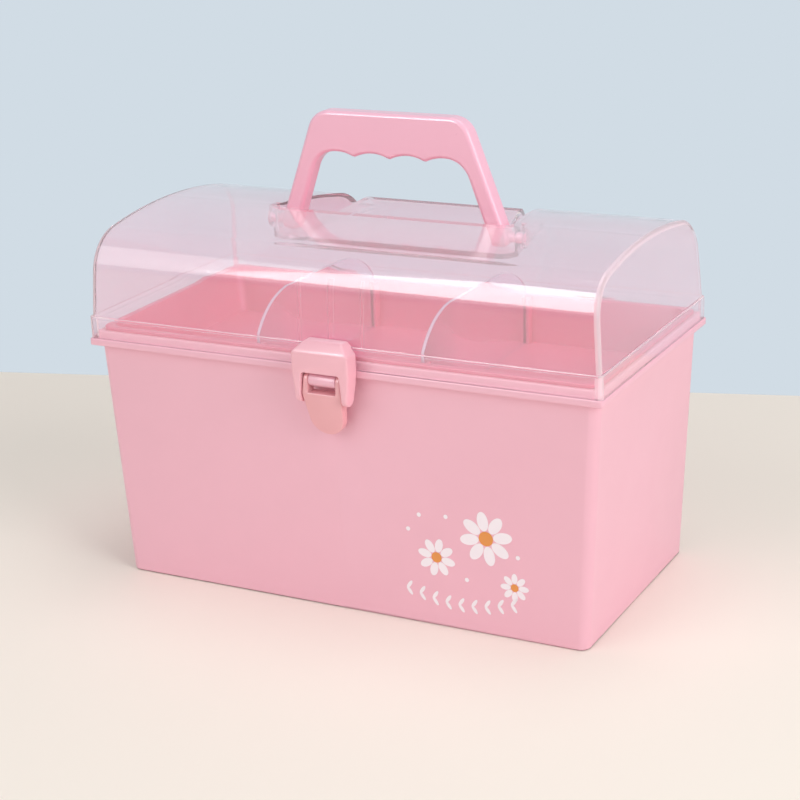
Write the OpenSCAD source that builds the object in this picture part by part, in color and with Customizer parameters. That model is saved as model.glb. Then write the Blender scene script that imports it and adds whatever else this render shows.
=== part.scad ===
// Storage case with a clear domed lid, a fold-down carrying handle, a draw latch and a lift-out tray.
// X runs along the front, Y from front to back and Z up. The origin is the centre of the underside.

/* [Case body] */
// Length of the body at its foot
body_len = 252.5; // [200:0.5:300]
// Depth of the body at its foot
body_dep = 128.2; // [110:0.2:160]
// Height of the body up to the underside of its flange
body_h = 121.4; // [95:0.2:160]
// How far each end wall leans out from foot to flange
end_lean = 6.8; // [2:0.2:12]
// How far the front and back walls each lean out
side_lean = 0.9; // [0.4:0.1:3]
// Wall thickness of the body
body_wall = 2.2; // [1.6:0.1:3]
// Floor thickness of the body
floor_t = 2.4; // [1.6:0.1:4]
// Radius of the body's upright corners
corner_r = 5; // [4:0.5:12]
// Radius round the body's foot
foot_r = 1.2; // [0.6:0.2:3]

/* [Body rim] */
// How far the flange stands out from the walls
flange_reach = 3.5; // [2.5:0.1:5]
// Thickness of the flange
flange_t = 3.4; // [2.4:0.1:5]
// Radius of the flange's corners
flange_corner_r = 1.4; // [0.6:0.2:6]
// Height of the inner rim that locates the lid and carries the tray
upstand_h = 3.6; // [2.5:0.1:5]
// Radius of the inner rim's corners
rim_corner_r = 2; // [1:0.2:4]

/* [Lid] */
// How far the lid's skirt is set back from the flange's edge
skirt_setback = 0.4; // [0:0.1:1]
// Height of the skirt
skirt_h = 11.3; // [10:0.1:16]
// Wall thickness of the skirt
skirt_t = 2.2; // [1.6:0.1:2.6]
// Width of the ledge on top of the skirt
ledge_w = 1; // [0.8:0.1:1.6]
// Height of the dome above the ledge
dome_h = 46.4; // [42:0.2:60]
// Wall thickness of the dome
dome_t = 1.9; // [1.4:0.1:2.2]
// Radius of the dome's front and back shoulders
shoulder_r = 20.7; // [14:0.1:26]
// Radius of the gentle arch along the top of the dome
crown_r = 268; // [200:1:400]
// Angle at which the dome's walls lean in
dome_draft = 3.6; // [1:0.2:6]
// Radius of the skirt's corners
skirt_corner_r = 2.4; // [1:0.2:5]
// Clearance between the skirt and the rim inside it
rim_gap = 0.4; // [0.3:0.1:0.8]
// Distance from the centre to each flanking rib on the lid's front
front_rib_x = 16.6; // [12:0.2:30]
// Width of each flanking rib
side_rib_w = 1.4; // [1:0.1:2]
// Width of the middle rib
middle_rib_w = 2.9; // [2:0.1:4]
// How far the ribs stand in from the wall
rib_depth = 0.6; // [0.4:0.1:0.8]

/* [Handle] */
// Thickness of the handle from front to back
handle_t = 10; // [8:0.2:12]
// Height of the grip's top above the pivot
handle_h = 57; // [50:0.1:75]
// Distance from the pivot up to the underside of the grip
grip_under_h = 37; // [32:0.1:44]
// Half width of the handle at the pivot
handle_half_foot = 61.9; // [56:0.1:66]
// Half width of the handle at the top, before its corners are rounded
handle_half_top = 41.7; // [36:0.1:50]
// Radius of the handle's two upper corners
handle_corner_r = 12; // [6:0.5:16]
// Width of each leg
leg_w = 9.8; // [8:0.1:12]
// Spacing of the finger scallops
finger_pitch = 19.2; // [17:0.1:20]
// Depth of each finger scallop
finger_depth = 2.4; // [1.5:0.1:4]
// Radius of the opening's upper corners
opening_corner_r = 13; // [9:0.1:15]
// Radius along the handle's edges
handle_edge_r = 2.4; // [1:0.2:3]
// Radius of the handle's trunnions
trunnion_r = 2.4; // [1.8:0.1:3]
// Depth of the pivot below the top of the dome
pivot_drop = 8; // [7:0.1:12]
// Distance of the pivot behind the centre line
pivot_y = 3; // [0:0.5:8]
// Angle through which the handle folds back
fold_angle = 83; // [80:1:86]

/* [Handle recess] */
// Gap between a leg's outer side and the recess wall at the pivot
recess_gap = 2.4; // [1.5:0.1:4]
// Distance from the pivot forward to the recess's front wall
recess_front = 7.5; // [6:0.1:12]
// Radius of the recess's front corners
recess_corner_r = 8; // [3:0.5:12]
// Gap between the folded handle and the recess floor
fold_gap = 0.5; // [0.3:0.1:1.5]
// Half width of the recess where it runs out at the back
recess_half_back = 52; // [48:0.5:60]
// Width of the level channel along each side of the recess floor
channel_w = 10; // [6:0.5:14]
// Length of each trunnion boss behind the recess wall
boss_len = 5; // [3:0.5:8]

/* [Latch] */
// Distance of the barrel's axis in front of the flange
barrel_reach = 4.9; // [4.6:0.1:7]
// Distance of the barrel's axis below the top of the flange
barrel_drop = 4.5; // [3:0.1:6]
// Radius of the barrel
barrel_r = 3.2; // [2.6:0.1:3.4]
// Length of the barrel
barrel_len = 14.2; // [10:0.2:18]
// Radius of the barrel's pin
latch_pin_r = 1.2; // [0.8:0.1:1.6]
// Thickness of the lever's ears
ear_t = 2.3; // [2:0.1:4]
// How much wider the lever is at its studs, on each side
lever_flare = 0.7; // [0:0.1:1]
// Distance from the barrel's axis down to the hook's studs
stud_drop = 7.3; // [6:0.1:10]
// How far the studs lie in front of the barrel's axis
stud_reach = 0.5; // [0.2:0.1:1]
// Radius of the studs
stud_r = 1.8; // [1.2:0.1:2.2]
// Distance from the barrel's axis down to the lever's tip
lever_h = 27.4; // [20:0.2:34]
// Thickness of the lever's tongue
tongue_t = 3.6; // [2.4:0.1:4.4]
// How far the tongue leans back towards the body
tongue_lean = 5.6; // [3:0.2:6]
// Half width of the hook
hook_half_w = 15; // [13.8:0.1:18]
// Half width of the hook along its top edge
hook_half_top = 10; // [8:0.1:12.5]
// Height and depth of the bevel along the top of the hook's front
hook_bevel = 4; // [2:0.1:5]
// How much narrower the hook is at its legs' tips
hook_taper = 1.2; // [0:0.1:1.6]
// Thickness of the hook's front
hook_t = 2.6; // [2:0.1:3]
// Thickness of the hook's lip over the ledge
lip_t = 2.5; // [1.8:0.1:4]
// Gap between the lip and the ledge it grips
lip_gap = 0.2; // [0.1:0.1:0.5]

/* [Hinges] */
// Distance from the centre to each hinge
hinge_x = 75; // [40:1:110]
// Distance of the hinge axis behind the flange
hinge_reach = 4.4; // [4.2:0.1:7]
// Radius of the hinge knuckles
knuckle_r = 3.6; // [3:0.1:3.8]
// Length of the lid's knuckle
knuckle_len = 12; // [8:0.5:20]
// Thickness of each ear on the body
hinge_ear_t = 4; // [3:0.5:6]
// Radius of the hinge pins
hinge_pin_r = 1.5; // [1:0.1:1.8]

/* [Tray] */
// Depth inside the tray
tray_depth = 25.2; // [18:0.2:40]
// Wall thickness of the tray
tray_t = 1.8; // [1.2:0.1:2.4]
// Clearance between the tray and the body round it
tray_gap = 0.6; // [0.4:0.1:1.2]
// How far the tray's lip stands out from its walls
tray_lip = 1.6; // [1.2:0.1:1.8]
// How far the tray's walls lean in towards its floor
tray_lean = 2; // [1.8:0.2:4]
// Radius of the tray's upright corners
tray_corner_r = 9; // [5:0.5:16]
// Distance from the centre to each divider
divider_x = 44; // [20:1:90]
// Thickness of a divider
divider_t = 1.6; // [1.2:0.1:2.4]
// Height of a divider above the tray's lip
divider_rise = 19.8; // [10:0.2:26]
// Half length of the flat top of a divider
divider_flat = 28; // [10:1:40]
// Radius of a divider's two shoulders
divider_shoulder_r = 36; // [32:1:44]
// Clearance of a divider in its slots
slot_gap = 0.3; // [0.2:0.1:0.6]
// Width and depth of the ribs that form the slots
slot_rib = 1.6; // [1.2:0.1:2.4]

/* [Hidden] */
$fn = 96;

pink = [0.93, 0.66, 0.74];
tray_pink = [0.90, 0.55, 0.66];
clear_pink = [0.95, 0.78, 0.83, 0.45];
clear_white = [0.93, 0.91, 0.96, 0.5];
steel = [0.75, 0.76, 0.78];

// Radial clearance of a pin or trunnion that turns, and of one that stays
running_fit = 0.05;
fixed_fit = 0.02;
// Thin slice used where hulls blend one outline into another, and the overlap of joined solids
slice = 0.01;
bite = 0.5;
// Far enough to cut right across the case
far = 400;

// Body and rim
top_len = body_len + 2 * end_lean;
top_dep = body_dep + 2 * side_lean;
flange_len = top_len + 2 * flange_reach;
flange_dep = top_dep + 2 * flange_reach;
flange_top = body_h + flange_t;
mouth_len = top_len - 2 * body_wall;
mouth_dep = top_dep - 2 * body_wall;
upstand_top = flange_top + upstand_h;
wall_slope = side_lean / (body_h - foot_r);

// Lid
skirt_len = flange_len - 2 * skirt_setback;
skirt_dep = flange_dep - 2 * skirt_setback;
ledge_z = flange_top + skirt_h;
dome_len = skirt_len - 2 * ledge_w;
dome_half = skirt_dep / 2 - ledge_w;
dome_top = ledge_z + dome_h;
// Centres of the crown arc and of the shoulder arcs that blend it into the leaning walls
crown_z = dome_top - crown_r;
wall_offset = dome_half * cos(dome_draft) + (ledge_z - crown_z) * sin(dome_draft) - shoulder_r;
arc_gap = crown_r - shoulder_r;
shoulder_up = wall_offset * sin(dome_draft) + cos(dome_draft) * sqrt(arc_gap ^ 2 - wall_offset ^ 2);
shoulder_z = crown_z + shoulder_up;
shoulder_y = (wall_offset - shoulder_up * sin(dome_draft)) / cos(dome_draft);
crown_start = atan2(shoulder_up, shoulder_y);

// Handle and recess
pivot_z = dome_top - pivot_drop;
handle_top = pivot_z + handle_h;
grip_under = pivot_z + grip_under_h;
floor_tilt = 90 - fold_angle;
finger_r = ((finger_pitch / 2) ^ 2 + finger_depth ^ 2) / (2 * finger_depth);
leg_slope = (handle_half_foot - handle_half_top) / handle_h;
leg_lean = atan(leg_slope);
recess_half = handle_half_foot + recess_gap;
recess_back_y = dome_half + bite;
recess_slope = (recess_half - recess_half_back) / (recess_back_y - pivot_y);
boss_r = trunnion_r + 2.6;

// Latch
barrel_y = -flange_dep / 2 - barrel_reach;
barrel_z = flange_top - barrel_drop;
bracket_half = 1.3;
bracket_foot = 8;
stud_y = barrel_y - stud_reach;
stud_z = barrel_z - stud_drop;
ear_in = barrel_len / 2 + 0.25;
ear_out = ear_in + ear_t;
hook_leg_r = 4;
hook_front = stud_y - hook_leg_r;
hook_back = -flange_dep / 2 - 0.4;
hook_top = ledge_z + lip_gap + lip_t;
window_half = ear_out + 0.5;
window_foot = window_half + lever_flare;
window_top = barrel_z + barrel_r + 0.9;
window_r = 1.5;
lip_back = -dome_half - lip_gap;
stud_end = hook_half_w - hook_taper - 1;

// Hinges
hinge_y = flange_dep / 2 + hinge_reach;
hinge_z = flange_top;
hinge_half = knuckle_len / 2 + 0.3 + hinge_ear_t;

// Tray and dividers
tray_len = mouth_len - 2 * tray_gap;
tray_dep = mouth_dep - 2 * tray_gap;
tray_top = upstand_top + tray_t;
tray_floor = tray_top - tray_depth;
divider_top = tray_top + divider_rise;
slot_half = divider_t / 2 + slot_gap;

// Rectangle with rounded corners, centred
module rounded_rect(len, dep, r) {
    square([len - 2 * r, dep], center = true);
    square([len, dep - 2 * r], center = true);
    for (x = [-1, 1], y = [-1, 1])
        translate([x * (len / 2 - r), y * (dep / 2 - r)])
            circle(r);
}

// Upright rounded plate from z0 to z1
module plate(len, dep, r, z0, z1) {
    translate([0, 0, z0])
        linear_extrude(z1 - z0)
            rounded_rect(len, dep, r);
}

// Outline drawn in X and Z, extruded backwards from y0 to y1
module from_front(y0, y1) {
    translate([0, y1, 0])
        rotate([90, 0, 0])
            linear_extrude(y1 - y0)
                children();
}

// Outline drawn in Y and Z, extruded along X from x0 to x1
module from_side(x0, x1) {
    translate([x0, 0, 0])
        rotate([90, 0, 90])
            linear_extrude(x1 - x0)
                children();
}

// Cylinder along X, centred on x, at the given Y and Z
module rod(x, y, z, r, len) {
    translate([x - len / 2, y, z])
        rotate([0, 90, 0])
            cylinder(r = r, h = len);
}

// ---- Case body -------------------------------------------------------------

// Leaning walls with rounded corners and a rounded foot, as one blended solid
module body_outside() {
    hull() {
        for (i = [0 : 3]) {
            tuck = foot_r * (1 - sin(i * 30));
            plate(body_len - 2 * tuck, body_dep - 2 * tuck, corner_r - tuck,
                foot_r * (1 - cos(i * 30)), foot_r * (1 - cos(i * 30)) + slice, $fn = 32);
        }
        plate(top_len, top_dep, corner_r, body_h, body_h + slice, $fn = 32);
    }
}

// Room inside the walls
module body_inside() {
    hull() {
        lean_in = floor_t / body_h;
        plate(body_len - 2 * body_wall + 2 * end_lean * lean_in,
            body_dep - 2 * body_wall + 2 * side_lean * lean_in,
            corner_r - body_wall, floor_t, floor_t + slice, $fn = 32);
        plate(mouth_len, mouth_dep, corner_r - body_wall, body_h, body_h + slice, $fn = 32);
    }
    plate(mouth_len, mouth_dep, corner_r - body_wall, body_h - bite, upstand_top + bite);
}

// Two ears at one hinge, each with a gusset down to the back wall
module hinge_ears(x) {
    for (s = [-1, 1]) {
        ear_x = x + s * (hinge_half - hinge_ear_t / 2);
        rod(ear_x, hinge_y, hinge_z, knuckle_r, hinge_ear_t);
        from_side(ear_x - hinge_ear_t / 2, ear_x + hinge_ear_t / 2)
            polygon([
                [hinge_y, hinge_z - knuckle_r], [hinge_y, flange_top - 0.2],
                [flange_dep / 2 - flange_reach, flange_top - 0.2],
                [top_dep / 2 - bite, flange_top - 0.2], [top_dep / 2 - bite, body_h - 9]
            ]);
    }
}

// Barrel that the lever turns on, carried by a gusset that ends flush on the front wall
module latch_bracket() {
    color(pink)
        difference() {
            union() {
                rod(0, barrel_y, barrel_z, barrel_r, barrel_len);
                from_side(-barrel_len / 2 + bite, barrel_len / 2 - bite)
                    polygon([
                        [barrel_y, barrel_z - bracket_half], [barrel_y, barrel_z + bracket_half],
                        [-flange_dep / 2, body_h + 1], [-flange_dep / 2, body_h],
                        [-top_dep / 2, body_h],
                        [-top_dep / 2 + bracket_foot * wall_slope, body_h - bracket_foot]
                    ]);
            }
            rod(0, barrel_y, barrel_z, latch_pin_r + fixed_fit, 2 * barrel_len);
        }
}

module base_shell() {
    color(pink)
        difference() {
            union() {
                body_outside();
                plate(flange_len, flange_dep, flange_corner_r, body_h, flange_top);
                plate(skirt_len - 2 * (skirt_t + rim_gap), skirt_dep - 2 * (skirt_t + rim_gap),
                    rim_corner_r, flange_top - bite, upstand_top);
                for (x = [-hinge_x, hinge_x])
                    hinge_ears(x);
            }
            body_inside();
            rod(-hinge_x, hinge_y, hinge_z, hinge_pin_r + fixed_fit, 3 * hinge_half);
            rod(hinge_x, hinge_y, hinge_z, hinge_pin_r + fixed_fit, 3 * hinge_half);
        }
}

// ---- Lid -------------------------------------------------------------------

// Cross-section of the dome, set in by the given amount, down to the height foot
module dome_section(inset, foot) {
    r = shoulder_r - inset;
    foot_y = dome_half - inset / cos(dome_draft) + (ledge_z - foot) * tan(dome_draft);
    wall_y = shoulder_y + r * cos(dome_draft);
    wall_z = shoulder_z + r * sin(dome_draft);
    crown_y = shoulder_y + r * cos(crown_start);
    crown_edge = shoulder_z + r * sin(crown_start);
    polygon([
        [-foot_y, foot], [foot_y, foot], [wall_y, wall_z], [shoulder_y, shoulder_z],
        [crown_y, crown_edge], [-crown_y, crown_edge], [-shoulder_y, shoulder_z], [-wall_y, wall_z]
    ]);
    for (s = [-1, 1])
        translate([s * shoulder_y, shoulder_z])
            circle(r);
    intersection() {
        translate([0, crown_z])
            circle(crown_r - inset, $fn = 720);
        translate([-crown_y, crown_edge])
            square([2 * crown_y, crown_r]);
    }
}

// Dome set in by the given amount, with ends that lean in like its walls
module dome(inset, foot) {
    half_foot = dome_len / 2 - inset / cos(dome_draft) + (ledge_z - foot) * tan(dome_draft);
    half_top = half_foot - (dome_top + bite - foot) * tan(dome_draft);
    intersection() {
        from_side(-dome_len, dome_len)
            dome_section(inset, foot);
        from_front(-skirt_dep, skirt_dep)
            polygon([
                [-half_foot, foot], [half_foot, foot],
                [half_top, dome_top + bite], [-half_top, dome_top + bite]
            ]);
    }
}

// Outline of the recess seen from above, set out by the given amount
module recess_plan(out) {
    front_y = pivot_y - recess_front - out;
    front_half = recess_half + recess_slope * (pivot_y - front_y) + out;
    r = recess_corner_r + out;
    difference() {
        polygon([
            [-front_half, front_y], [front_half, front_y],
            [recess_half_back + out, recess_back_y], [-recess_half_back - out, recess_back_y]
        ]);
        for (s = [-1, 1])
            translate([s * (front_half - r), front_y + r])
                difference() {
                    translate([s > 0 ? 0 : -2 * r, -2 * r])
                        square(2 * r);
                    circle(r);
                }
    }
}

// Space of the recess, set out by the given amount: its floor slopes up to the back, with
// a level channel along each side
module recess(out) {
    floor_drop = handle_t / 2 + fold_gap + out;
    channel_in = channel_w + out;
    intersection() {
        translate([0, 0, pivot_z - dome_h])
            linear_extrude(2 * dome_h)
                recess_plan(out);
        union() {
            translate([0, pivot_y, pivot_z])
                rotate([floor_tilt, 0, 0])
                    translate([-far / 2, -far / 2, -floor_drop])
                        cube([far, far, far / 2]);
            for (s = [-1, 1])
                translate([0, 0, pivot_z - floor_drop])
                    linear_extrude(far)
                        polygon([
                            [s * (recess_half - channel_in), pivot_y], [s * far, pivot_y],
                            [s * far, recess_back_y], [s * (recess_half_back - channel_in), recess_back_y]
                        ]);
        }
    }
}

// Ribs inside the front wall: one on each side of the latch and one behind it
module front_ribs() {
    for (rib = [[-front_rib_x, side_rib_w], [0, middle_rib_w], [front_rib_x, side_rib_w]])
        from_side(rib[0] - rib[1] / 2, rib[0] + rib[1] / 2)
            intersection() {
                difference() {
                    dome_section(dome_t - bite, ledge_z - dome_t);
                    dome_section(dome_t + rib_depth, ledge_z - dome_t - 1);
                }
                translate([-dome_half, ledge_z - dome_t])
                    square([shoulder_r / 2, shoulder_z - ledge_z + shoulder_r / 2]);
            }
}

// Boss for one trunnion, with a web up to the top of the dome
module trunnion_boss(x) {
    web_half = boss_r - 1.5;
    rod(x, pivot_y, pivot_z, boss_r, boss_len);
    translate([x - boss_len / 2, pivot_y - web_half, pivot_z])
        cube([boss_len, 2 * web_half, pivot_drop - dome_t + bite]);
}

// Knuckle at one hinge, on an arm from the skirt
module lid_knuckle(x) {
    rod(x, hinge_y, hinge_z, knuckle_r, knuckle_len);
    from_side(x - knuckle_len / 2, x + knuckle_len / 2)
        polygon([
            [skirt_dep / 2 - bite, flange_top + 0.2], [hinge_y, flange_top + 0.2],
            [hinge_y, hinge_z + knuckle_r], [skirt_dep / 2 - bite, hinge_z + knuckle_r + 2]
        ]);
}

module lid_shell() {
    color(clear_pink)
        difference() {
            union() {
                difference() {
                    union() {
                        plate(skirt_len, skirt_dep, skirt_corner_r, flange_top, ledge_z);
                        dome(0, ledge_z - bite);
                    }
                    plate(skirt_len - 2 * skirt_t, skirt_dep - 2 * skirt_t,
                        rim_corner_r + rim_gap, flange_top - bite, ledge_z - dome_t);
                    difference() {
                        dome(dome_t, ledge_z - dome_t - bite);
                        recess(dome_t);
                    }
                }
                front_ribs();
                for (s = [-1, 1])
                    trunnion_boss(s * (recess_half + boss_len / 2));
                for (x = [-hinge_x, hinge_x])
                    lid_knuckle(x);
            }
            recess(0);
            rod(0, pivot_y, pivot_z, trunnion_r + running_fit, 2 * (recess_half + boss_len + bite));
            for (x = [-hinge_x, hinge_x])
                rod(x, hinge_y, hinge_z, hinge_pin_r + running_fit, knuckle_len + bite);
        }
}

// ---- Handle ----------------------------------------------------------------

// Outside of the handle seen from the front, set in by the given amount
module handle_outline(inset) {
    half_top = handle_half_top - inset;
    r = handle_corner_r - inset;
    corner_x = half_top + leg_slope * r - r / cos(leg_lean);
    foot_z = pivot_z - handle_t / 2 + inset;
    hull() {
        for (s = [-1, 1])
            translate([s * corner_x, handle_top - inset - r])
                circle(r, $fn = 48);
        for (s = [-1, 1])
            translate([s * (handle_half_foot - inset - 2), foot_z + 2])
                circle(2, $fn = 32);
    }
}

// Opening between the legs, with its finger scallops, set out by the given amount
module handle_opening(out) {
    corner_z = grip_under - opening_corner_r;
    foot_z = pivot_z - handle_t;
    corner_half = handle_half_foot - leg_w - leg_slope * (corner_z - pivot_z);
    corner_x = corner_half - opening_corner_r / cos(leg_lean);
    foot_half = corner_half + leg_slope * (corner_z - foot_z) + out / cos(leg_lean);
    side_x = corner_x + (opening_corner_r + out) * cos(leg_lean);
    side_z = corner_z + (opening_corner_r + out) * sin(leg_lean);
    polygon([[-foot_half, foot_z], [-side_x, side_z], [side_x, side_z], [foot_half, foot_z]]);
    for (s = [-1, 1])
        translate([s * corner_x, corner_z])
            circle(opening_corner_r + out, $fn = 48);
    intersection() {
        for (i = [-1.5 : 1 : 1.5])
            translate([i * finger_pitch, grip_under - finger_r])
                circle(finger_r + out, $fn = 96);
        translate([-corner_x, corner_z])
            square([2 * corner_x, 2 * opening_corner_r + out]);
    }
}

module handle() {
    front_y = pivot_y - handle_t / 2;
    color(pink)
        union() {
            intersection() {
                minkowski() {
                    from_front(front_y + handle_edge_r, front_y + handle_t - handle_edge_r)
                        difference() {
                            handle_outline(handle_edge_r);
                            handle_opening(handle_edge_r);
                        }
                    sphere(handle_edge_r, $fn = 16);
                }
                from_side(-far / 2, far / 2) {
                    translate([pivot_y, pivot_z])
                        circle(handle_t / 2);
                    translate([front_y, pivot_z])
                        square([handle_t, handle_h]);
                }
            }
            for (s = [-1, 1])
                rod(s * (handle_half_foot - bite + (recess_gap + boss_len) / 2), pivot_y, pivot_z,
                    trunnion_r, recess_gap + boss_len);
        }
}

// ---- Latch -----------------------------------------------------------------

// Opening in the hook's front, rounded at its upper corners
module window_outline() {
    polygon([
        [-window_foot, stud_z - 2 * hook_leg_r], [window_foot, stud_z - 2 * hook_leg_r],
        [window_foot, stud_z], [window_half, window_top - window_r],
        [-window_half, window_top - window_r], [-window_foot, stud_z]
    ]);
    translate([0, window_top - window_r])
        rounded_rect(2 * window_half, 2 * window_r, window_r - slice);
}

module latch_hook() {
    shoulder = hook_half_w - hook_half_top;
    leg_half = hook_half_w - hook_taper;
    color(pink)
        difference() {
            union() {
                intersection() {
                    from_front(hook_front - bite, lip_back + bite)
                        polygon([
                            [-leg_half, stud_z - bite], [leg_half, stud_z - bite],
                            [hook_half_w, flange_top], [hook_half_w, hook_top - shoulder],
                            [hook_half_top, hook_top + slice], [-hook_half_top, hook_top + slice],
                            [-hook_half_w, hook_top - shoulder], [-hook_half_w, flange_top]
                        ]);
                    from_side(-hook_half_w, hook_half_w)
                        polygon([
                            [hook_front, stud_z], [hook_front, hook_top - hook_bevel],
                            [hook_front + hook_bevel, hook_top], [lip_back, hook_top],
                            [lip_back, ledge_z + lip_gap], [hook_back, ledge_z + lip_gap],
                            [hook_back, stud_z + 6], [stud_y + hook_leg_r, stud_z]
                        ]);
                }
                rod(0, stud_y, stud_z, hook_leg_r, 2 * leg_half);
            }
            // hollow behind the front and below the lip
            translate([-window_half - bite, hook_front + hook_t, window_top - bite])
                cube([2 * (window_half + bite), far, ledge_z + lip_gap - window_top + bite]);
            // window for the lever and the barrel
            from_front(hook_front - bite, lip_back)
                window_outline();
            rod(0, stud_y, stud_z, stud_r + running_fit, 2 * (stud_end + 0.2));
        }
}

module latch_lever() {
    tip_r = ear_out - 0.7;
    tip_z = barrel_z - lever_h;
    stud_half = ear_out + lever_flare;
    front_y = barrel_y - barrel_r - 0.6;
    color(pink)
        difference() {
            union() {
                intersection() {
                    from_front(front_y - 2, barrel_y + barrel_r + 2)
                        union() {
                            translate([0, tip_z + tip_r])
                                circle(tip_r);
                            polygon([
                                [-ear_out, barrel_z + 2 * barrel_r], [-ear_out, barrel_z],
                                [-stud_half, stud_z], [-tip_r, tip_z + tip_r],
                                [tip_r, tip_z + tip_r], [stud_half, stud_z],
                                [ear_out, barrel_z], [ear_out, barrel_z + 2 * barrel_r]
                            ]);
                        }
                    from_side(-stud_half, stud_half)
                        union() {
                            translate([barrel_y, barrel_z])
                                circle(barrel_r + 0.2);
                            polygon([
                                [barrel_y - barrel_r - 0.2, barrel_z], [front_y, stud_z + 1],
                                [front_y + tongue_lean, tip_z],
                                [front_y + tongue_lean + tongue_t, tip_z],
                                [barrel_y + barrel_r - 1, stud_z], [barrel_y + barrel_r + 0.2, barrel_z]
                            ]);
                        }
                }
                rod(0, stud_y, stud_z, stud_r, 2 * stud_end);
            }
            translate([-ear_in, barrel_y - 3 * barrel_r, barrel_z - barrel_r - 2.6])
                cube([2 * ear_in, 6 * barrel_r, 6 * barrel_r]);
            rod(0, barrel_y, barrel_z, latch_pin_r + running_fit, 3 * ear_out);
        }
}

module latch_pin() {
    color(steel)
        rod(0, barrel_y, barrel_z, latch_pin_r, 2 * ear_out - 0.6);
}

module hinge_pin(x) {
    color(steel)
        rod(x, hinge_y, hinge_z, hinge_pin_r, 2 * hinge_half - 0.4);
}

// ---- Tray and dividers -----------------------------------------------------

module tray() {
    color(tray_pink)
        difference() {
            union() {
                hull() {
                    plate(tray_len - 2 * tray_lean, tray_dep - 2 * tray_lean, tray_corner_r - tray_lean,
                        tray_floor - tray_t, tray_floor - tray_t + slice, $fn = 32);
                    plate(tray_len, tray_dep, tray_corner_r, tray_top - tray_t, tray_top, $fn = 32);
                }
                plate(tray_len + 2 * tray_lip, tray_dep + 2 * tray_lip, corner_r,
                    upstand_top, tray_top);
            }
            difference() {
                hull() {
                    plate(tray_len - 2 * (tray_t + tray_lean), tray_dep - 2 * (tray_t + tray_lean),
                        tray_corner_r - tray_lean - tray_t, tray_floor, tray_floor + slice, $fn = 32);
                    plate(tray_len - 2 * tray_t, tray_dep - 2 * tray_t, tray_corner_r - tray_t,
                        tray_top + slice, tray_top + 2 * slice, $fn = 32);
                }
                for (x = [-divider_x, divider_x], s = [-1, 1], e = [-1, 1])
                    translate([x + e * (slot_half + slot_rib / 2) - slot_rib / 2,
                            s * (tray_dep / 2 - tray_lean) - tray_lean - tray_t - slot_rib,
                            tray_floor - bite])
                        cube([slot_rib, 2 * (tray_lean + tray_t + slot_rib), tray_depth - 1 + bite]);
            }
        }
}

module divider(x) {
    half = tray_dep / 2 - tray_t - tray_lean - slot_gap;
    color(clear_white)
        from_side(x - divider_t / 2, x + divider_t / 2)
            intersection() {
                translate([-half, tray_floor])
                    square([2 * half, divider_top - tray_floor]);
                union() {
                    translate([-divider_flat, tray_floor])
                        square([2 * divider_flat, divider_top - tray_floor]);
                    for (s = [-1, 1])
                        translate([s * divider_flat, divider_top - divider_shoulder_r])
                            circle(divider_shoulder_r);
                }
            }
}

base_shell();
latch_bracket();
lid_shell();
handle();
latch_hook();
latch_lever();
latch_pin();
hinge_pin(-hinge_x);  // hinge_pin_left
hinge_pin(hinge_x);  // hinge_pin_right
tray();
divider(-divider_x);  // divider_left
divider(divider_x);  // divider_right
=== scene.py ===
import bpy, bmesh, math
from mathutils import Vector, Matrix


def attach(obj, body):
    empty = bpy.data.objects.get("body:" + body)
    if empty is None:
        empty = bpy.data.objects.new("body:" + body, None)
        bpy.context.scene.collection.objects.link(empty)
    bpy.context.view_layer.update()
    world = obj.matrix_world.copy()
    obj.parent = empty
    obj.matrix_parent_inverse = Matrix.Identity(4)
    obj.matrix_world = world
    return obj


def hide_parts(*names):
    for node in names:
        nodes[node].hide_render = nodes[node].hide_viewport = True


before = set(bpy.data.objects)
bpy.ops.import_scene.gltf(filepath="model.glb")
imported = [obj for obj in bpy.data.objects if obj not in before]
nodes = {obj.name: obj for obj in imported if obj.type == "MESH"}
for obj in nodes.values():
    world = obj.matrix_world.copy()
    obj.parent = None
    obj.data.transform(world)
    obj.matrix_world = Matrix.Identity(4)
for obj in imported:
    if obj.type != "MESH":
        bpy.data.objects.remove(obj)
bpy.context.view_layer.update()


# ---- Case body ---------------------------------------------------------------------------
# The lower case: one injection moulding in satin pink plastic with leaning walls, a flange
# round its mouth and two pairs of hinge ears behind. The barrel of the latch stands on a
# gusset in front and is moulded in one with it.

def srgb(r, g, b):
    """A colour written in 0 to 255, as linear light."""
    lin = lambda c: (c / 255 / 12.92) if c <= 10 else ((c / 255 + 0.055) / 1.055) ** 2.4
    return (lin(r), lin(g), lin(b), 1.0)


def open_copy(node, planes=((1, 0, 0), (0, 1, 0))):
    """A bmesh of the node's CAD solid with its triangles joined into flat faces, which are
    parted along the middle planes so that no face closes round a hole."""
    micron = 1e-6
    bm = bmesh.new()
    bm.from_mesh(nodes[node].data)
    bmesh.ops.remove_doubles(bm, verts=bm.verts, dist=micron)
    for across in planes:
        bmesh.ops.bisect_plane(bm, geom=bm.verts[:] + bm.edges[:] + bm.faces[:], dist=micron,
                               plane_co=(0, 0, 0), plane_no=across)

    def on_cut(verts):
        return any(all(abs(v.co.dot(Vector(across))) < 2 * micron for v in verts)
                   for across in planes)

    bmesh.ops.dissolve_limit(bm, angle_limit=math.radians(0.6),
                             verts=[v for v in bm.verts if not on_cut([v])],
                             edges=[e for e in bm.edges if not on_cut(e.verts)])
    return bm


def sharpen(bm, angle=30):
    """Marks the edges that shade as creases."""
    for e in bm.edges:
        e.smooth = len(e.link_faces) == 2 and e.calc_face_angle(0) < math.radians(angle)


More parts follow.
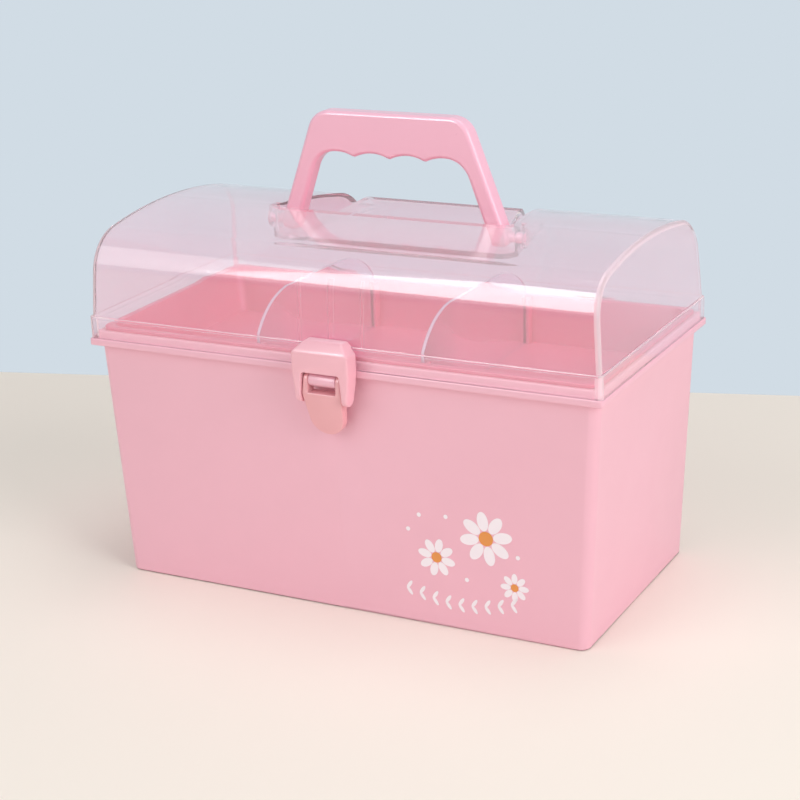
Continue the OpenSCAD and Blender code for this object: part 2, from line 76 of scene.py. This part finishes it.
def finish_piece(bm, name, body, node, materials, round_mm):
    """Turns the bmesh into a piece that stands for the node and rides on the body. Its edges
    are rounded, or where round_mm is 0 they keep the creases that are marked on them."""
    mesh = bpy.data.meshes.new(name)
    for f in bm.faces:
        f.smooth = True
    bm.to_mesh(mesh)
    bm.free()
    obj = bpy.data.objects.new(name, mesh)
    bpy.context.scene.collection.objects.link(obj)
    for material in materials:
        obj.data.materials.append(material)
    if round_mm:
        bevel = obj.modifiers.new("rounding", "BEVEL")
        bevel.width = round_mm / 1000
        bevel.segments = 3
        bevel.limit_method = "ANGLE"
        bevel.angle_limit = math.radians(28)
        bevel.use_clamp_overlap = False
        bevel.harden_normals = True
        bevel.miter_outer = "MITER_ARC"
    else:
        even = obj.modifiers.new("even_shading", "WEIGHTED_NORMAL")
        even.weight = 80
        even.keep_sharp = True
    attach(obj, body)
    if node:
        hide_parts(node)


def moulding_marks():
    """Node group: cloudy mottle and fine grain left on a surface by its mould."""
    group = bpy.data.node_groups.new("moulding_marks", "ShaderNodeTree")
    for name, value in (("Cloud Scale", 60), ("Grain Scale", 2500)):
        group.interface.new_socket(name, in_out="INPUT",
                                   socket_type="NodeSocketFloat").default_value = value
    for name in ("Cloud", "Grain"):
        group.interface.new_socket(name, in_out="OUTPUT", socket_type="NodeSocketFloat")
    enter = group.nodes.new("NodeGroupInput")
    leave = group.nodes.new("NodeGroupOutput")
    coords = group.nodes.new("ShaderNodeTexCoord")
    for name, detail in (("Cloud", 4), ("Grain", 2)):
        noise = group.nodes.new("ShaderNodeTexNoise")
        noise.inputs["Detail"].default_value = detail
        group.links.new(coords.outputs["Object"], noise.inputs["Vector"])
        group.links.new(enter.outputs[name + " Scale"], noise.inputs["Scale"])
        group.links.new(noise.outputs["Fac"], leave.inputs[name])
    return group


marks_group = moulding_marks()


def mark_surface(nt, bsdf, colour, shade, roughness, spread, bump):
    """Feeds the mould's cloud and grain into colour, roughness and normal."""
    marks = nt.nodes.new("ShaderNodeGroup")
    marks.node_tree = marks_group
    tint = nt.nodes.new("ShaderNodeMix")
    tint.data_type = "RGBA"
    tint.inputs["A"].default_value = colour
    tint.inputs["B"].default_value = tuple(c * shade for c in colour[:3]) + (1,)
    nt.links.new(marks.outputs["Cloud"], tint.inputs["Factor"])
    nt.links.new(tint.outputs["Result"], bsdf.inputs["Base Color"])
    gloss = nt.nodes.new("ShaderNodeMapRange")
    gloss.inputs["To Min"].default_value = roughness - spread
    gloss.inputs["To Max"].default_value = roughness + spread
    nt.links.new(marks.outputs["Cloud"], gloss.inputs["Value"])
    nt.links.new(gloss.outputs["Result"], bsdf.inputs["Roughness"])
    relief = nt.nodes.new("ShaderNodeBump")
    relief.inputs["Strength"].default_value = bump
    relief.inputs["Distance"].default_value = 0.0002
    nt.links.new(marks.outputs["Grain"], relief.inputs["Height"])
    nt.links.new(relief.outputs["Normal"], bsdf.inputs["Normal"])


def satin_plastic(name, colour, roughness=0.36, coat=0):
    """Opaque moulded plastic with a satin gloss; a coat stands for a polished mould."""
    mat = bpy.data.materials.new(name)
    mat.use_nodes = True
    bsdf = mat.node_tree.nodes["Principled BSDF"]
    bsdf.inputs["IOR"].default_value = 1.49
    bsdf.inputs["Coat Weight"].default_value = coat
    bsdf.inputs["Coat Roughness"].default_value = 0.12
    mark_surface(mat.node_tree, bsdf, colour, shade=0.97, roughness=roughness, spread=0.05,
                 bump=0.04)
    return mat


body_pink = satin_plastic("body_plastic", srgb(243, 187, 203))
for node, name, round_mm in (("base_shell", "case_body", 0.5),
                             ("latch_bracket", "latch_barrel", 0.3)):
    finish_piece(open_copy(node), name, "base", node, [body_pink], round_mm)


# ---- Front print -------------------------------------------------------------------------
# A pad-printed ornament low on the right of the front: three white daisies with orange
# hearts over a sprig of small leaves. The ink lies flat on the leaning wall.

wall_foot_y, wall_foot_z = -0.0641, 0.0012
wall_h, wall_lean = 0.1202, 0.0009
ink_t = 0.00004


def ink(name, colour):
    """Printing ink, a little duller than the plastic."""
    mat = bpy.data.materials.new(name)
    mat.use_nodes = True
    bsdf = mat.node_tree.nodes["Principled BSDF"]
    mark_surface(mat.node_tree, bsdf, colour, shade=0.96, roughness=0.42, spread=0.05,
                 bump=0.05)
    return mat


def ink_spot(bm, x, z, half_long, half_wide, turn, lift=ink_t):
    """An oval of ink on the front wall; turn is its long side's angle from the X axis."""
    wall_y = wall_foot_y - wall_lean * (z - wall_foot_z) / wall_h
    place = (Matrix.Translation((x, wall_y - lift, z))
             @ Matrix.Rotation(math.radians(90.43), 4, "X")
             @ Matrix.Rotation(math.radians(turn), 4, "Z")
             @ Matrix.Diagonal((half_long, half_wide, 1, 1)))
    bmesh.ops.create_circle(bm, cap_ends=True, radius=1, segments=28, matrix=place)


white_bm, orange_bm = bmesh.new(), bmesh.new()
petals = 8
for x, z, size, first in ((0.0765, 0.0490, 0.0135, 10), (0.0505, 0.0355, 0.0098, 32),
                          (0.0905, 0.0265, 0.0072, 0)):
    for k in range(petals):
        turn = first + 360 / petals * k
        out = 0.64 * size
        ink_spot(white_bm, x + out * math.cos(math.radians(turn)),
                 z + out * math.sin(math.radians(turn)), 0.36 * size, 0.21 * size, turn)
    ink_spot(orange_bm, x, z, 0.27 * size, 0.27 * size, 0, 2 * ink_t)
leaf_pairs = 9
sprig_x, sprig_z, sprig_sag = 0.0355, 0.0175, 0.0045
leaf_pitch, leaf_out, leaf_turn = 0.0068, 0.0016, 55
for k in range(leaf_pairs):
    x = sprig_x + leaf_pitch * k
    z = sprig_z - sprig_sag * math.sin(math.radians(180 / (leaf_pairs - 1) * k))
    for side in (1, -1):
        ink_spot(white_bm, x, z + side * leaf_out, 0.0025, 0.0009, side * leaf_turn)
dot_r = 0.0011
for x, z in ((0.0360, 0.0480), (0.0420, 0.0560), (0.0560, 0.0570), (0.0925, 0.0420),
             (0.0660, 0.0265)):
    ink_spot(white_bm, x, z, dot_r, dot_r, 0)
for print_bm, tone, colour in ((white_bm, "white", srgb(250, 240, 246)),
                               (orange_bm, "orange", srgb(233, 150, 72))):
    finish_piece(print_bm, "front_print_" + tone, "base", None,
                 [ink(tone + "_ink", colour)], 0)


# ---- Tray --------------------------------------------------------------------------------
# The lift-out tray: one thin moulding that hangs by its lip on the body's rim, with paired
# ribs inside its front and back walls.

tray_pink = satin_plastic("tray_plastic", srgb(229, 118, 149), 0.32)
finish_piece(open_copy("tray"), "lift_out_tray", "tray", "tray", [tray_pink], 0.3)


# ---- Lid ---------------------------------------------------------------------------------
# The domed lid: one moulding in clear pink plastic with a skirt, a ledge, rounded ends and a
# recess for the handle. It is glossy and a little milky; its rounded edges and corners carry a
# paler, less clear material, a painted glow for the light that those edges gather.

def clear_plastic(name, colour, thin, roughness, see_through):
    """Thin clear plastic that bends light little and carries its gloss in a coat; light that
    only passes on its way to a lamp isn't bent."""
    mat = bpy.data.materials.new(name)
    mat.use_nodes = True
    nt = mat.node_tree
    bsdf = nt.nodes["Principled BSDF"]
    bsdf.inputs["Transmission Weight"].default_value = see_through
    bsdf.inputs["IOR"].default_value = 1.15
    bsdf.inputs["Coat Weight"].default_value = 0.8
    bsdf.inputs["Coat Roughness"].default_value = 0.09
    mark_surface(nt, bsdf, colour, shade=0.985, roughness=roughness, spread=0.02, bump=0.01)
    clear = nt.nodes.new("ShaderNodeBsdfTransparent")
    clear.inputs["Color"].default_value = thin
    path = nt.nodes.new("ShaderNodeLightPath")
    either = nt.nodes.new("ShaderNodeMath")
    either.operation = "MAXIMUM"
    nt.links.new(path.outputs["Is Shadow Ray"], either.inputs[0])
    nt.links.new(path.outputs["Is Diffuse Ray"], either.inputs[1])
    mix = nt.nodes.new("ShaderNodeMixShader")
    nt.links.new(either.outputs[0], mix.inputs["Fac"])
    nt.links.new(bsdf.outputs[0], mix.inputs[1])
    nt.links.new(clear.outputs[0], mix.inputs[2])
    nt.links.new(mix.outputs[0], nt.nodes["Material Output"].inputs["Surface"])
    return mat


lid_clear = clear_plastic("lid_plastic", srgb(255, 244, 248), srgb(255, 247, 250), 0.05, 0.87)
# The edge material is painted light: a paler, less clear copy of the lid plastic that stands for
# the glow of light gathered in the rounded edges.
lid_edge_painted_glow = clear_plastic("lid_edge_painted_glow", srgb(253, 228, 236), srgb(255, 244, 247), 0.12, 0.45)
lid_bm = open_copy("lid_shell")
bmesh.ops.dissolve_verts(lid_bm, verts=[v for v in lid_bm.verts if len(v.link_edges) == 2])
ledge_z = 0.1361
dome_end_x = 0.129
corner_x = 0.12
end_edges = [e for e in lid_bm.edges
             if e.is_convex and min(abs(v.co.x) for v in e.verts) > dome_end_x
             and (e.verts[0].co.z + e.verts[1].co.z) / 2 > ledge_z + 0.0008
             and max(abs(f.normal.x) for f in e.link_faces) > 0.99
             and min(abs(f.normal.x) for f in e.link_faces) < 0.3]
pale = bmesh.ops.bevel(lid_bm, geom=end_edges, offset=0.0022, offset_type="OFFSET", segments=5,
                       profile=0.5, affect="EDGES", material=-1, clamp_overlap=False)["faces"]
ledge_edges = [e for e in lid_bm.edges
               if e.is_convex and all(abs(v.co.z - ledge_z) < 1e-5 for v in e.verts)
               and e.calc_face_angle(0) > 1 and any(f.normal.z > 0.99 for f in e.link_faces)]
pale += bmesh.ops.bevel(lid_bm, geom=ledge_edges, offset=0.0004, offset_type="OFFSET",
                        segments=3, profile=0.5, affect="EDGES", material=-1,
                        clamp_overlap=True)["faces"]
# The rounded vertical corners of the lid get the painted glow as well.
pale += [f for f in lid_bm.faces if abs(f.calc_center_median().x) > corner_x
         and abs(f.normal.z) < 0.3 and 0.2 < abs(f.normal.x) < 0.98]
for f in pale:
    if f.is_valid:
        f.material_index = 1
sharpen(lid_bm)
finish_piece(lid_bm, "clear_lid", "lid", "lid_shell", [lid_clear, lid_edge_painted_glow], 0)


# ---- Dividers ----------------------------------------------------------------------------
# Two clear plates, cut from sheet with rounded shoulders, that slide down between the
# tray's ribs. Their sawn edges carry a whiter, less clear material: partly the real frost of the
# cut and partly a painted glow of the light they gather.

sheet_tint = srgb(250, 246, 252)
sheet_clear = clear_plastic("divider_sheet", srgb(253, 248, 255), sheet_tint, 0.05, 0.97)
# The edge material is partly the real frost of the sawn edges and partly a painted glow of the
# light the edges gather.
sheet_edge_frost_glow = clear_plastic("divider_edge_frost_and_glow", srgb(240, 230, 250), sheet_tint, 0.30, 0.35)
for side in ("left", "right"):
    divider = "divider_" + side
    sheet_bm = open_copy(divider)
    for f in sheet_bm.faces:
        f.material_index = 0 if abs(f.normal.x) > 0.9 else 1
    finish_piece(sheet_bm, "clear_" + divider, divider, divider,
                 [sheet_clear, sheet_edge_frost_glow], 0.15)


# ---- Handle ------------------------------------------------------------------------------
# The carrying handle: one pink moulding with four finger scallops under its grip and a
# short trunnion out of each foot, which turns in a boss of the lid.

handle_pink = satin_plastic("handle_plastic", srgb(250, 190, 211), 0.30, coat=0.5)
handle_bm = open_copy("handle")
sharpen(handle_bm, 40)
finish_piece(handle_bm, "carry_handle", "handle", "handle", [handle_pink], 0)


# ---- Latch -------------------------------------------------------------------------------
# The draw latch: a hook that lies over the lid's ledge, and a lever that turns on the
# body's barrel and pulls the hook down. Both are pink mouldings.

latch_pink = satin_plastic("latch_plastic", srgb(246, 186, 198), 0.32, coat=0.15)
hook_bm = open_copy("latch_hook", ())
bmesh.ops.remove_doubles(hook_bm, verts=hook_bm.verts, dist=6e-5)
leg_end_z = 0.113


def on_outside(f):
    """Whether a face of the hook is turned away from the lever and the case."""
    middle = f.calc_center_median()
    return f.normal.x * middle.x > -1e-4 and (f.normal.z > -0.9 or middle.z < leg_end_z)


outer_edges = [e for e in hook_bm.edges if e.is_convex and 0.6 < e.calc_face_angle(0) < 1.8
               and all(on_outside(f) for f in e.link_faces)]
bmesh.ops.bevel(hook_bm, geom=outer_edges, offset=0.001, offset_type="OFFSET", segments=5,
                profile=0.5, affect="EDGES", material=-1, clamp_overlap=False)
finish_piece(hook_bm, "latch_hook_piece", "hook", "latch_hook", [latch_pink], 0.3)

lever_pink = satin_plastic("lever_plastic", srgb(238, 174, 180), 0.30)
finish_piece(open_copy("latch_lever", ()), "latch_lever_piece", "lever", "latch_lever",
             [lever_pink], 0.5)


# ---- Pins --------------------------------------------------------------------------------
# Drawn steel wire pins, pressed into the latch's barrel and the two hinges, where the
# lever and the lid turn on them.

steel = bpy.data.materials.new("pin_wire")
steel.use_nodes = True
bsdf = steel.node_tree.nodes["Principled BSDF"]
bsdf.inputs["Metallic"].default_value = 1
mark_surface(steel.node_tree, bsdf, (0.62, 0.62, 0.64, 1), shade=0.8, roughness=0.3,
             spread=0.08, bump=0.1)
for node in ("latch_pin", "hinge_pin_left", "hinge_pin_right"):
    nodes[node].data.materials.clear()
    nodes[node].data.materials.append(steel)


# ---- Stage -------------------------------------------------------------------------------
# A pale floor that ends a little way behind the case, a pale backdrop and soft studio
# light, with the camera at the photograph's angle.

floor_mat = bpy.data.materials.new("floor_paint")
floor_mat.use_nodes = True
bsdf = floor_mat.node_tree.nodes["Principled BSDF"]
bsdf.inputs["Base Color"].default_value = srgb(250, 242, 231)
bsdf.inputs["Roughness"].default_value = 0.6
back_edge = Matrix.Translation((-0.1356, 0.2520, 0)) @ Matrix.Rotation(math.radians(15.3), 4, "Z")
floor_bm = bmesh.new()
bmesh.ops.create_grid(floor_bm, x_segments=1, y_segments=1, size=1)
bmesh.ops.transform(floor_bm, verts=floor_bm.verts,
                    matrix=back_edge @ Matrix.Diagonal((3, 1.5, 1, 1))
                    @ Matrix.Translation((0, -1, 0)))
floor_mesh = bpy.data.meshes.new("floor")
floor_bm.to_mesh(floor_mesh)
floor_bm.free()
floor = bpy.data.objects.new("floor", floor_mesh)
bpy.context.scene.collection.objects.link(floor)
floor.data.materials.append(floor_mat)

world = bpy.data.worlds.new("studio")
bpy.context.scene.world = world
world.use_nodes = True
nt = world.node_tree
nt.nodes["Background"].inputs["Color"].default_value = srgb(244, 244, 244)
nt.nodes["Background"].inputs["Strength"].default_value = 0.4
backdrop = nt.nodes.new("ShaderNodeBackground")
backdrop.inputs["Color"].default_value = srgb(209, 220, 229)
path = nt.nodes.new("ShaderNodeLightPath")
shown = path.outputs["Is Camera Ray"]
for ray in ("Is Glossy Ray", "Is Transmission Ray"):
    either = nt.nodes.new("ShaderNodeMath")
    either.operation = "MAXIMUM"
    nt.links.new(shown, either.inputs[0])
    nt.links.new(path.outputs[ray], either.inputs[1])
    shown = either.outputs[0]
pick = nt.nodes.new("ShaderNodeMixShader")
nt.links.new(shown, pick.inputs["Fac"])
nt.links.new(nt.nodes["Background"].outputs[0], pick.inputs[1])
nt.links.new(backdrop.outputs[0], pick.inputs[2])
nt.links.new(pick.outputs[0], nt.nodes["World Output"].inputs["Surface"])


def lamp(name, at, aim, size, power, only_gloss=False):
    """An area lamp that looks from one point to another."""
    data = bpy.data.lights.new(name, "AREA")
    data.shape = "RECTANGLE"
    data.size, data.size_y = size
    data.energy = power
    obj = bpy.data.objects.new(name, data)
    bpy.context.scene.collection.objects.link(obj)
    obj.location = at
    obj.rotation_euler = (Vector(aim) - Vector(at)).to_track_quat("-Z", "Y").to_euler()
    if only_gloss:
        obj.visible_diffuse = False
        obj.visible_transmission = False


case_middle = (0, 0, 0.1)
lamp("front_softbox", (-0.75, -1.30, 0.95), case_middle, (1.4, 1.2), 8.5)
lamp("side_softbox", (1.45, -0.45, 0.75), case_middle, (1.0, 1.0), 13.4)
lamp("top_softbox", (0.2, 0.3, 1.9), case_middle, (1.2, 1.2), 9.5)
lamp("gloss_panel", (-0.42, -0.98, 0.95), (0.04, -0.06, 0.17), (0.5, 1.1), 17, only_gloss=True)

eye = (0.441421, -0.825617, 0.407694)
yaw, pitch, roll = (math.radians(a) for a in (28.126, 18.916, -2.41))
focal_px, image_px, sensor_mm = 1975.882, 800, 36
camera = bpy.data.cameras.new("camera")
camera.sensor_width = sensor_mm
camera.lens = focal_px * sensor_mm / image_px
camera_obj = bpy.data.objects.new("camera", camera)
bpy.context.scene.collection.objects.link(camera_obj)
look = Vector((-math.sin(yaw) * math.cos(pitch), math.cos(yaw) * math.cos(pitch),
               -math.sin(pitch)))
level = Vector((math.cos(yaw), math.sin(yaw), 0))
plumb = level.cross(look)
right = math.cos(roll) * level + math.sin(roll) * plumb
up = -math.sin(roll) * level + math.cos(roll) * plumb
camera_obj.matrix_world = Matrix([(right[i], up[i], -look[i], eye[i]) for i in range(3)]
                                 + [(0, 0, 0, 1)])
bpy.context.scene.camera = camera_obj
bpy.context.scene.view_settings.view_transform = "Standard"
